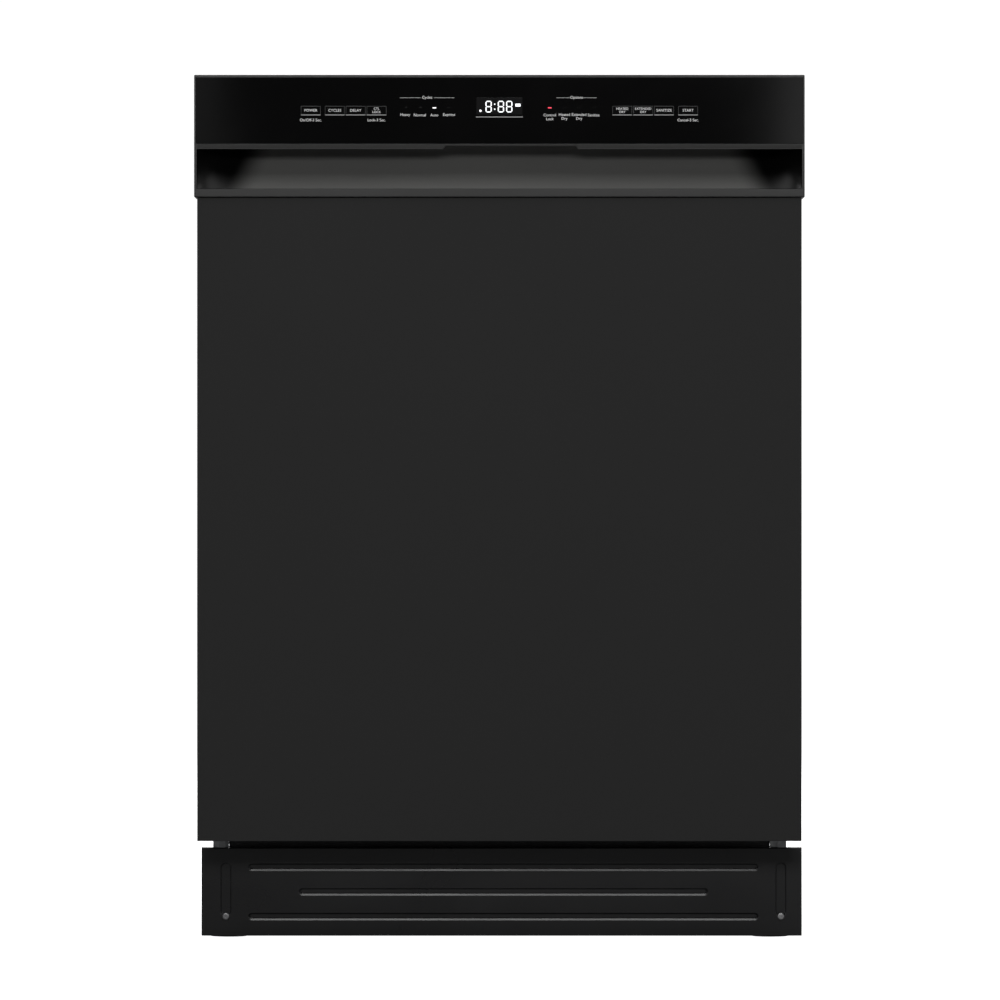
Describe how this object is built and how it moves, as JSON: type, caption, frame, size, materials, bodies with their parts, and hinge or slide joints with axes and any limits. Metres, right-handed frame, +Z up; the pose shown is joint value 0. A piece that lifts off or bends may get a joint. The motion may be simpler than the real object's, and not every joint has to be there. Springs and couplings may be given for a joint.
{
  "type": "built-in dishwasher",
  "caption": "Built-in dishwasher with pocket-handle door, pull-out racks, spinning spray arms, keys, dispenser, toe kick and levelling feet.",
  "frame": {"origin": "on the floor, below the middle of the machine's bounding box", "axes": "+Z up, -Y out of the door's front, +X to the right seen from the front"},
  "size_m": [0.606, 0.622, 0.86],
  "materials": {
    "panel_black": "satin",
    "gloss_black": "gloss",
    "black_plastic": "matte",
    "kick_black": "satin",
    "stainless": "brushed",
    "galvanised": "satin",
    "dark_steel": "satin",
    "grey_plastic": "matte",
    "dark_plastic": "matte",
    "light_plastic": "matte",
    "blue_plastic": "matte",
    "board_green": "satin",
    "rack_coat": "satin",
    "rubber": "matte",
    "bitumen": "matte"
  },
  "bodies": {
    "chassis": {"base_pan": "dark_plastic", "support_frame": "galvanised", "tub_wrap": "stainless", "tub_back": "stainless", "tub_floor": "stainless", "damping_mats": "bitumen", "tub_gasket": "rubber", "sump": "dark_plastic", "circulation_pump": "dark_plastic", "drain_pump": "dark_plastic", "inlet_valve": "light_plastic", "junction_box": "galvanised", "heating_element": "dark_steel", "filter_plate": "stainless", "hinge_brackets": "galvanised", "door_springs": "dark_steel", "feed_tube": "grey_plastic", "counter_brackets": "galvanised", "toe_kick": "kick_black", "kick_screws": "dark_steel"},
    "door": {"door_panel": "panel_black", "fascia": "black_plastic", "control_lens": "gloss_black", "handle_scoop": "black_plastic", "indicator_lenses": "gloss_black", "control_board": "board_green", "door_liner": "stainless", "dispenser_body": "dark_plastic", "door_latch": "dark_steel", "hinge_arms": "galvanised", "bottom_seal": "rubber"},
    "rails": {"upper_rails": "stainless"},
    "upper_basket": {"upper_rack": "rack_coat"},
    "lower_basket": {"lower_rack": "rack_coat", "cutlery_basket": "grey_plastic"},
    "filter_cup_body": {"filter_cup": "grey_plastic"},
    "float_dome_body": {"float_dome": "light_plastic"},
    "lower_spray_arm_body": {"lower_spray_arm": "grey_plastic"},
    "top_spray_arm_body": {"top_spray_arm": "grey_plastic"},
    "foot_front_left_body": {"foot_front_left": "dark_plastic"},
    "foot_front_right_body": {"foot_front_right": "dark_plastic"},
    "foot_rear_left_body": {"foot_rear_left": "dark_plastic"},
    "foot_rear_right_body": {"foot_rear_right": "dark_plastic"},
    "rail_rollers_front_body": {"rail_rollers_front": "light_plastic"},
    "rail_rollers_rear_body": {"rail_rollers_rear": "light_plastic"},
    "dispenser_lid_body": {"dispenser_lid": "grey_plastic"},
    "rinse_cap_body": {"rinse_cap": "blue_plastic"},
    "upper_spray_arm_body": {"upper_spray_arm": "grey_plastic"},
    "cup_shelf_body": {"cup_shelf": "rack_coat"},
    "lower_tines_body": {"lower_tines": "rack_coat"},
    "lower_wheels_front_body": {"lower_wheels_front": "grey_plastic"},
    "lower_wheels_rear_body": {"lower_wheels_rear": "grey_plastic"},
    "power_button_body": {"power_button": "gloss_black"},
    "cycles_button_body": {"cycles_button": "gloss_black"},
    "delay_button_body": {"delay_button": "gloss_black"},
    "lock_button_body": {"lock_button": "gloss_black"},
    "heated_dry_button_body": {"heated_dry_button": "gloss_black"},
    "extra_dry_button_body": {"extra_dry_button": "gloss_black"},
    "sanitize_button_body": {"sanitize_button": "gloss_black"},
    "start_button_body": {"start_button": "gloss_black"}
  },
  "joints": [
    {"name": "door_hinge", "type": "hinge", "parent": "chassis", "child": "door", "pos_m": [0, -0.262, 0.124], "axis": [1, 0, 0], "range_deg": [0, 90], "stiffness_Nm_per_rad": 12, "springref_deg": -18.91},
    {"name": "upper_rail_slide", "type": "slide", "parent": "chassis", "child": "rails", "axis": [0, -1, 0], "range_m": [0, 0.2251]},
    {"name": "upper_rack_slide", "type": "slide", "parent": "chassis", "child": "upper_basket", "axis": [0, -1, 0], "range_m": [0, 0.4501]},
    {"name": "lower_rack_slide", "type": "slide", "parent": "chassis", "child": "lower_basket", "axis": [0, -1, 0], "range_m": [0, 0.1001]},
    {"name": "front_wheel_roll", "type": "hinge", "parent": "lower_basket", "child": "lower_wheels_front_body", "pos_m": [0, -0.113, 0.1603], "axis": [1, 0, 0], "range_deg": [0, 360]},
    {"name": "rear_wheel_roll", "type": "hinge", "parent": "lower_basket", "child": "lower_wheels_rear_body", "pos_m": [0, 0.18, 0.1603], "axis": [1, 0, 0], "range_deg": [0, 360]},
    {"name": "front_roller_turn", "type": "hinge", "parent": "chassis", "child": "rail_rollers_front_body", "pos_m": [0, -0.197, 0.5507], "axis": [1, 0, 0], "range_deg": [0, 1440]},
    {"name": "rear_roller_turn", "type": "hinge", "parent": "chassis", "child": "rail_rollers_rear_body", "pos_m": [0, -0.022, 0.5507], "axis": [1, 0, 0], "range_deg": [0, 1440]},
    {"name": "lower_arm_spin", "type": "hinge", "parent": "chassis", "child": "lower_spray_arm_body", "pos_m": [0, 0.0205, 0.155], "axis": [0, 0, 1], "continuous": true},
    {"name": "top_arm_spin", "type": "hinge", "parent": "chassis", "child": "top_spray_arm_body", "pos_m": [0, 0.0205, 0.811], "axis": [0, 0, 1], "continuous": true},
    {"name": "upper_arm_spin", "type": "hinge", "parent": "upper_basket", "child": "upper_spray_arm_body", "pos_m": [0, 0.0025, 0.459], "axis": [0, 0, 1], "continuous": true},
    {"name": "cup_shelf_fold", "type": "hinge", "parent": "upper_basket", "child": "cup_shelf_body", "pos_m": [-0.24, 0, 0.564], "axis": [0, -1, 0], "range_deg": [0, 88]},
    {"name": "tine_fold", "type": "hinge", "parent": "lower_basket", "child": "lower_tines_body", "pos_m": [0, 0.0725, 0.1795], "axis": [-1, 0, 0], "range_deg": [0, 88]},
    {"name": "filter_turn", "type": "hinge", "parent": "chassis", "child": "filter_cup_body", "pos_m": [0.044, -0.0235, 0.1], "axis": [0, 0, 1], "range_deg": [0, 90]},
    {"name": "float_lift", "type": "slide", "parent": "chassis", "child": "float_dome_body", "axis": [0, 0, 1], "range_m": [0, 0.008]},
    {"name": "dispenser_lid_slide", "type": "slide", "parent": "door", "child": "dispenser_lid_body", "axis": [1, 0, 0], "range_m": [0, 0.06]},
    {"name": "rinse_cap_turn", "type": "hinge", "parent": "door", "child": "rinse_cap_body", "pos_m": [0.082, -0.234, 0.44], "axis": [0, 1, 0], "range_deg": [0, 90]},
    {"name": "foot_front_left_turn", "type": "hinge", "parent": "chassis", "child": "foot_front_left_body", "pos_m": [-0.272, -0.204, 0.02], "axis": [0, 0, 1], "continuous": true},
    {"name": "foot_front_right_turn", "type": "hinge", "parent": "chassis", "child": "foot_front_right_body", "pos_m": [0.272, -0.204, 0.02], "axis": [0, 0, 1], "continuous": true},
    {"name": "foot_rear_left_turn", "type": "hinge", "parent": "chassis", "child": "foot_rear_left_body", "pos_m": [-0.272, 0.281, 0.02], "axis": [0, 0, 1], "continuous": true},
    {"name": "foot_rear_right_turn", "type": "hinge", "parent": "chassis", "child": "foot_rear_right_body", "pos_m": [0.272, 0.281, 0.02], "axis": [0, 0, 1], "continuous": true},
    {"name": "power_button_press", "type": "slide", "parent": "door", "child": "power_button_body", "axis": [0, 1, 0], "range_m": [0, 0.0012], "stiffness_N_per_m": 300, "springref_m": -0.0006},
    {"name": "cycles_button_press", "type": "slide", "parent": "door", "child": "cycles_button_body", "axis": [0, 1, 0], "range_m": [0, 0.0012], "stiffness_N_per_m": 300, "springref_m": -0.0006},
    {"name": "delay_button_press", "type": "slide", "parent": "door", "child": "delay_button_body", "axis": [0, 1, 0], "range_m": [0, 0.0012], "stiffness_N_per_m": 300, "springref_m": -0.0006},
    {"name": "lock_button_press", "type": "slide", "parent": "door", "child": "lock_button_body", "axis": [0, 1, 0], "range_m": [0, 0.0012], "stiffness_N_per_m": 300, "springref_m": -0.0006},
    {"name": "heated_dry_button_press", "type": "slide", "parent": "door", "child": "heated_dry_button_body", "axis": [0, 1, 0], "range_m": [0, 0.0012], "stiffness_N_per_m": 300, "springref_m": -0.0006},
    {"name": "extra_dry_button_press", "type": "slide", "parent": "door", "child": "extra_dry_button_body", "axis": [0, 1, 0], "range_m": [0, 0.0012], "stiffness_N_per_m": 300, "springref_m": -0.0006},
    {"name": "sanitize_button_press", "type": "slide", "parent": "door", "child": "sanitize_button_body", "axis": [0, 1, 0], "range_m": [0, 0.0012], "stiffness_N_per_m": 300, "springref_m": -0.0006},
    {"name": "start_button_press", "type": "slide", "parent": "door", "child": "start_button_body", "axis": [0, 1, 0], "range_m": [0, 0.0012], "stiffness_N_per_m": 300, "springref_m": -0.0006}
  ],
  "couplings": [
    {"joint": "upper_rail_slide", "follows": "door_hinge", "m_per_rad": 0.14324},
    {"joint": "upper_rack_slide", "follows": "door_hinge", "m_per_rad": 0.28648},
    {"joint": "lower_rack_slide", "follows": "door_hinge", "m_per_rad": 0.063662},
    {"joint": "front_wheel_roll", "follows": "door_hinge", "ratio": 3.9789},
    {"joint": "rear_wheel_roll", "follows": "door_hinge", "ratio": 3.9789},
    {"joint": "front_roller_turn", "follows": "door_hinge", "ratio": 15.915},
    {"joint": "rear_roller_turn", "follows": "door_hinge", "ratio": 15.915}
  ]
}
